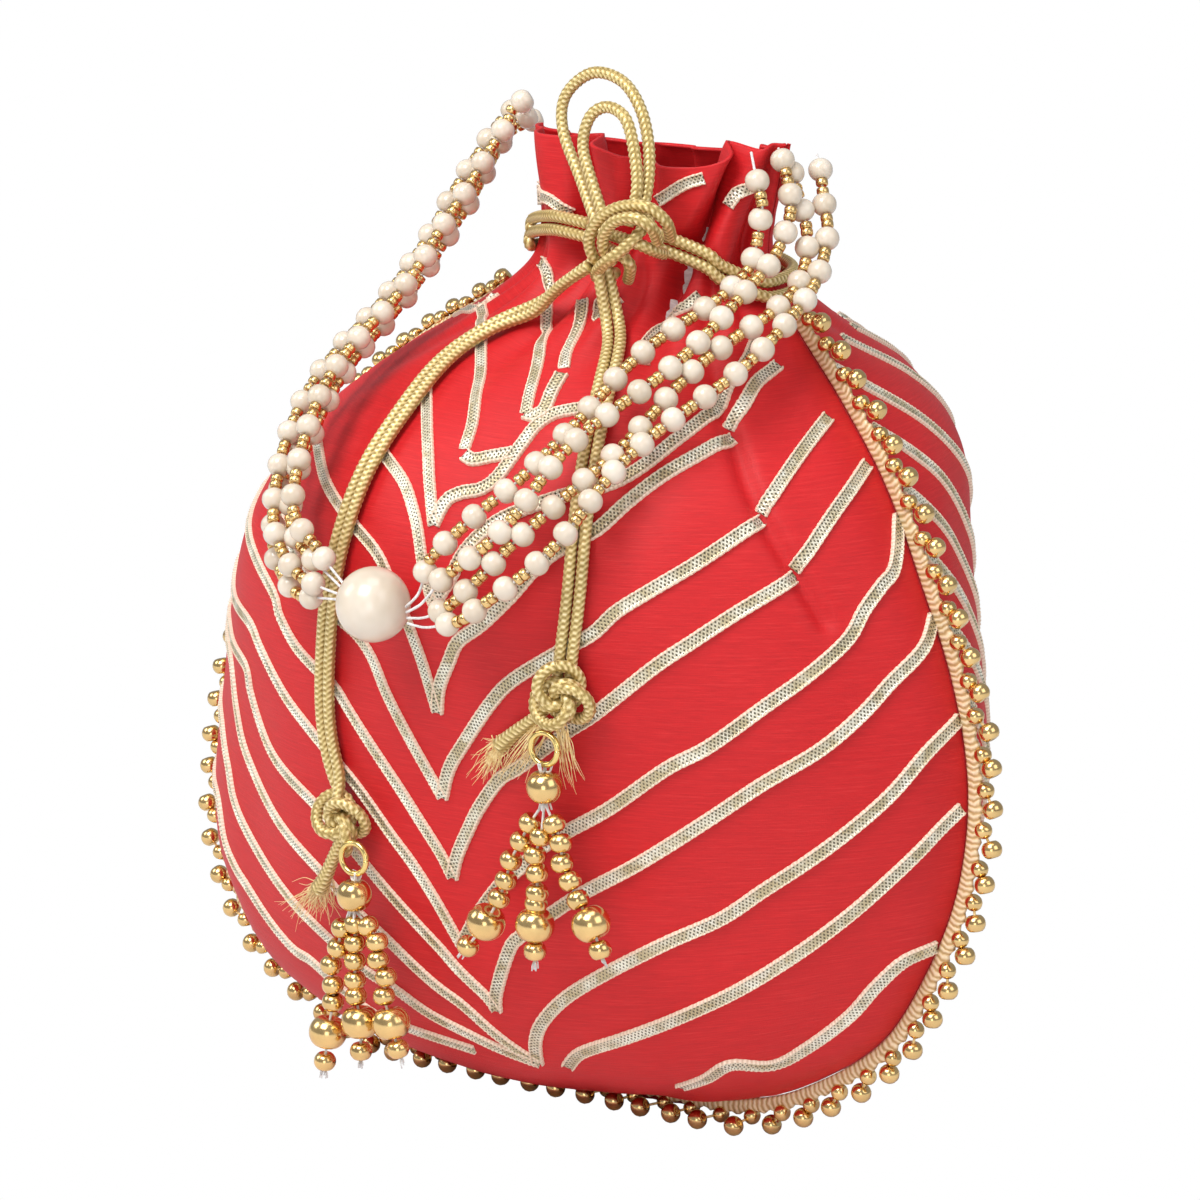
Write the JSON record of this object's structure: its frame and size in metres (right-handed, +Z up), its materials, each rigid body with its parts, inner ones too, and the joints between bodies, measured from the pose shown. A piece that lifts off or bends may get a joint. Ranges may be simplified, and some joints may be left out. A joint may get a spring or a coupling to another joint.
{
  "type": "potli bag",
  "caption": "Gathered drawstring pouch with lace chevrons, a beaded seam, a knotted braided cord with bead tassels and a pearl bead handle.",
  "frame": {"origin": "on the flat patch of cloth that the bag stands on, just behind its bottom seam", "axes": "+Z up towards the gathered neck, -Y out of the front panel, +X towards the right seam seen from the front"},
  "size_m": [0.218, 0.1658, 0.2346],
  "materials": {
    "silk": "satin",
    "lining": "matte",
    "lace": "satin",
    "braid_tape": "satin",
    "braided_cord": "satin",
    "gold_beads": "gloss",
    "pearls": "gloss"
  },
  "bodies": {
    "bag": {"front_panel": "silk", "back_panel": "silk", "lining": "lining", "front_lace_1": "lace", "front_lace_2": "lace", "front_lace_3": "lace", "front_lace_4": "lace", "front_lace_5": "lace", "front_lace_6": "lace", "front_lace_7": "lace", "front_lace_8": "lace", "front_lace_9": "lace", "front_lace_10": "lace", "front_lace_11": "lace", "front_lace_12": "lace", "back_lace_1": "lace", "back_lace_2": "lace", "back_lace_3": "lace", "back_lace_4": "lace", "back_lace_5": "lace", "back_lace_6": "lace", "back_lace_7": "lace", "back_lace_8": "lace", "back_lace_9": "lace", "back_lace_10": "lace", "seam_tape": "braid_tape", "seam_beads": "gold_beads", "drawstring_wrap": "braided_cord", "drawstring_knot": "braided_cord", "bow_loop_outer": "braided_cord", "bow_loop_inner": "braided_cord", "left_tail_1": "braided_cord", "left_tail_2": "braided_cord", "right_tail_1": "braided_cord", "right_tail_2": "braided_cord", "left_tassel_end_knot": "braided_cord", "right_tassel_end_knot": "braided_cord"},
    "handle": {"handle_left_strand_1": "pearls", "handle_left_strand_2": "pearls", "handle_left_strand_3": "pearls", "handle_left_strand_4": "pearls", "handle_right_strand_1": "pearls", "handle_right_strand_2": "pearls", "handle_right_strand_3": "pearls", "handle_right_strand_4": "pearls", "handle_large_pearl": "pearls"},
    "left_tassel": {"left_tassel_ring": "gold_beads", "left_tassel_cap_bead": "gold_beads", "left_tassel_bead_strand_1": "gold_beads", "left_tassel_bead_strand_2": "gold_beads", "left_tassel_bead_strand_3": "gold_beads"},
    "right_tassel": {"right_tassel_ring": "gold_beads", "right_tassel_cap_bead": "gold_beads", "right_tassel_bead_strand_1": "gold_beads", "right_tassel_bead_strand_2": "gold_beads", "right_tassel_bead_strand_3": "gold_beads"}
  },
  "joints": [
    {"name": "handle_swing", "type": "hinge", "parent": "bag", "child": "handle", "pos_m": [0.018, -0.005, 0.216], "axis": [-1, 0, 0], "range_deg": [0, 140]},
    {"name": "left_tassel_swing", "type": "hinge", "parent": "bag", "child": "left_tassel", "pos_m": [-0.015, -0.0706, 0.0668], "axis": [-1, 0, 0], "range_deg": [0, 90]},
    {"name": "right_tassel_swing", "type": "hinge", "parent": "bag", "child": "right_tassel", "pos_m": [0.0366, -0.0711, 0.0986], "axis": [-1, 0, 0], "range_deg": [0, 90]}
  ]
}
